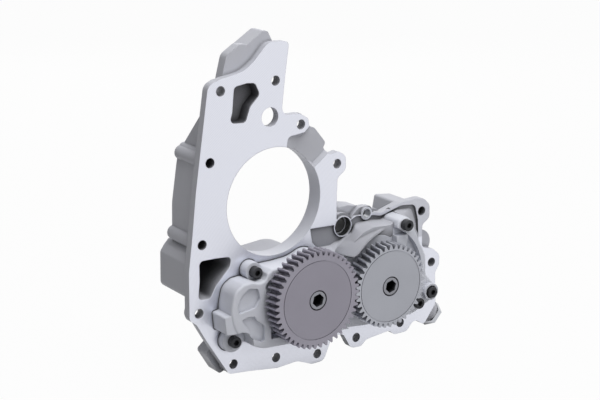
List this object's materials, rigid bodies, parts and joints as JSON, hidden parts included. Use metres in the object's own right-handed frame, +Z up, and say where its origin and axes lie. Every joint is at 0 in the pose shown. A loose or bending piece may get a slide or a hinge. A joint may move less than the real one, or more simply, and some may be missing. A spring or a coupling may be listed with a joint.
{
  "type": "engine oil pump",
  "caption": "Engine oil pump with a flanged casting round a crank bore, a ribbed cover, a meshing pair of helical drive gears, pump rotors and a relief valve behind a hexagon plug.",
  "frame": {"origin": "centre of the crank bore, on the machined face of the flange", "axes": "-Y out of the flange face towards the gears, +X to the side of the second gear, +Z up towards the duct window at the top"},
  "size_m": [0.3659, 0.1222, 0.3886],
  "materials": {
    "housing_casting": "die cast, joint face and bore milled bright",
    "cover_casting": "sand cast, blasted grey",
    "blackened_screws": "black oxide",
    "ground_steel": "ground",
    "plated_steel": "bright zinc",
    "bearing_bronze": "turned bronze",
    "spring_steel": "drawn and tempered",
    "soft_aluminium": "stamped",
    "drive_gear_steel": "hobbed and hardened, satin",
    "intermediate_gear_steel": "hobbed and hardened, satin",
    "sintered_steel": "sintered and ground"
  },
  "bodies": {
    "casing": {"pump_housing": "housing_casting", "pump_cover": "cover_casting", "cover_screws": "blackened_screws", "cover_dowels": "ground_steel", "gallery_plugs": "plated_steel", "drive_front_bush": "bearing_bronze", "drive_rear_bush": "bearing_bronze", "driven_front_bush": "bearing_bronze", "driven_rear_bush": "bearing_bronze", "intermediate_front_bush": "bearing_bronze", "intermediate_rear_bush": "bearing_bronze", "drive_thrust_washer": "ground_steel", "intermediate_thrust_washer": "ground_steel", "locating_sleeve": "ground_steel", "oil_port_sleeve": "ground_steel", "relief_valve_plug": "plated_steel", "relief_valve_seal": "soft_aluminium", "relief_valve_spring": "spring_steel"},
    "drive_train": {"drive_gear": "drive_gear_steel", "drive_shaft": "ground_steel", "drive_rotor": "sintered_steel", "drive_ring": "spring_steel"},
    "driven_train": {"driven_rotor": "sintered_steel", "driven_shaft": "ground_steel", "driven_ring": "spring_steel"},
    "intermediate_train": {"intermediate_gear": "intermediate_gear_steel", "intermediate_shaft": "ground_steel", "intermediate_ring": "spring_steel"},
    "relief_piston": {"relief_valve_piston": "ground_steel"}
  },
  "joints": [
    {"name": "drive_spin", "type": "hinge", "parent": "casing", "child": "drive_train", "pos_m": [0.0225, 0, -0.1035], "axis": [0, -1, 0], "continuous": true},
    {"name": "intermediate_spin", "type": "hinge", "parent": "casing", "child": "intermediate_train", "pos_m": [0.12262, 0, -0.10651], "axis": [0, -1, 0], "continuous": true},
    {"name": "driven_spin", "type": "hinge", "parent": "casing", "child": "driven_train", "pos_m": [-0.0268, 0, -0.10799], "axis": [0, -1, 0], "continuous": true},
    {"name": "relief_piston_slide", "type": "slide", "parent": "casing", "child": "relief_piston", "axis": [0.7431, 0, -0.6691], "range_m": [0, 0.009], "stiffness_N_per_m": 1500, "springref_m": -0.006, "deforming": ["relief_valve_spring"]}
  ],
  "couplings": [
    {"joint": "intermediate_spin", "follows": "drive_spin", "ratio": -1.15},
    {"joint": "driven_spin", "follows": "drive_spin", "ratio": -1}
  ]
}
